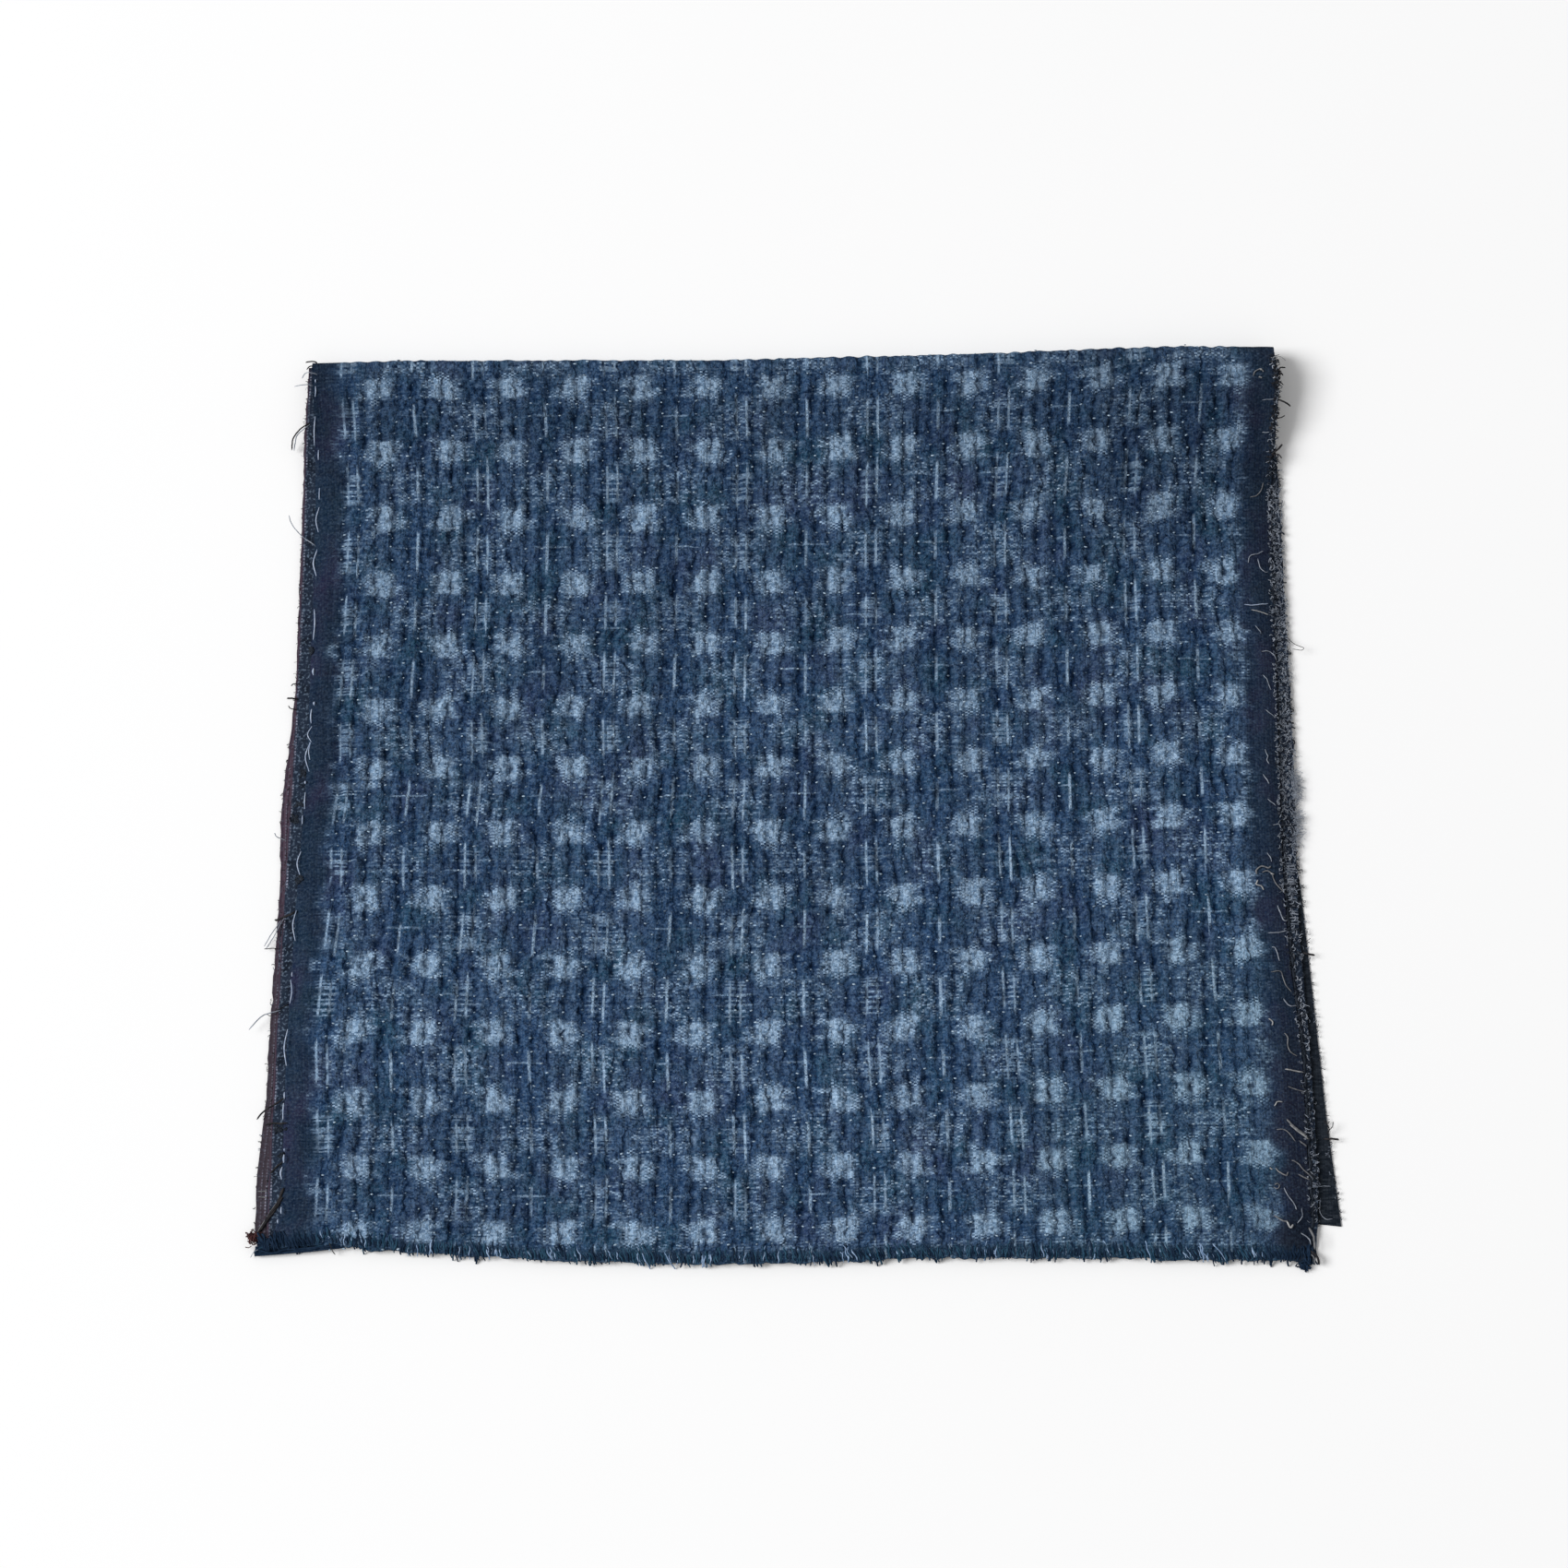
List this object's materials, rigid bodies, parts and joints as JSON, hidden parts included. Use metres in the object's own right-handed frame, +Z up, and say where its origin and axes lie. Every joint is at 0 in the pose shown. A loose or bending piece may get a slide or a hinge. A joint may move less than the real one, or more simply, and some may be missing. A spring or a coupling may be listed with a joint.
{
  "type": "folded kasuri cloth",
  "caption": "Quilted indigo kasuri cloth over a darker backing, folded once with the fold at the far side and laid flat on a surface.",
  "frame": {"origin": "middle of the folded cloth's outline, on the plane it lies on", "axes": "+X across the cloth along the fold, +Y towards the fold, +Z up"},
  "size_m": [0.3656, 0.3278, 0.0123],
  "materials": {
    "kasuri_cotton": "matt woven cotton, indigo with a light resist-dyed repeat",
    "backing_cotton": "matt woven cotton, very dark indigo and brown with fine dotted lines",
    "sewing_thread": "matt cotton sewing thread"
  },
  "bodies": {
    "root": {"kasuri_face": "kasuri_cotton", "backing_cloth": "backing_cotton"}
  },
  "joints": []
}
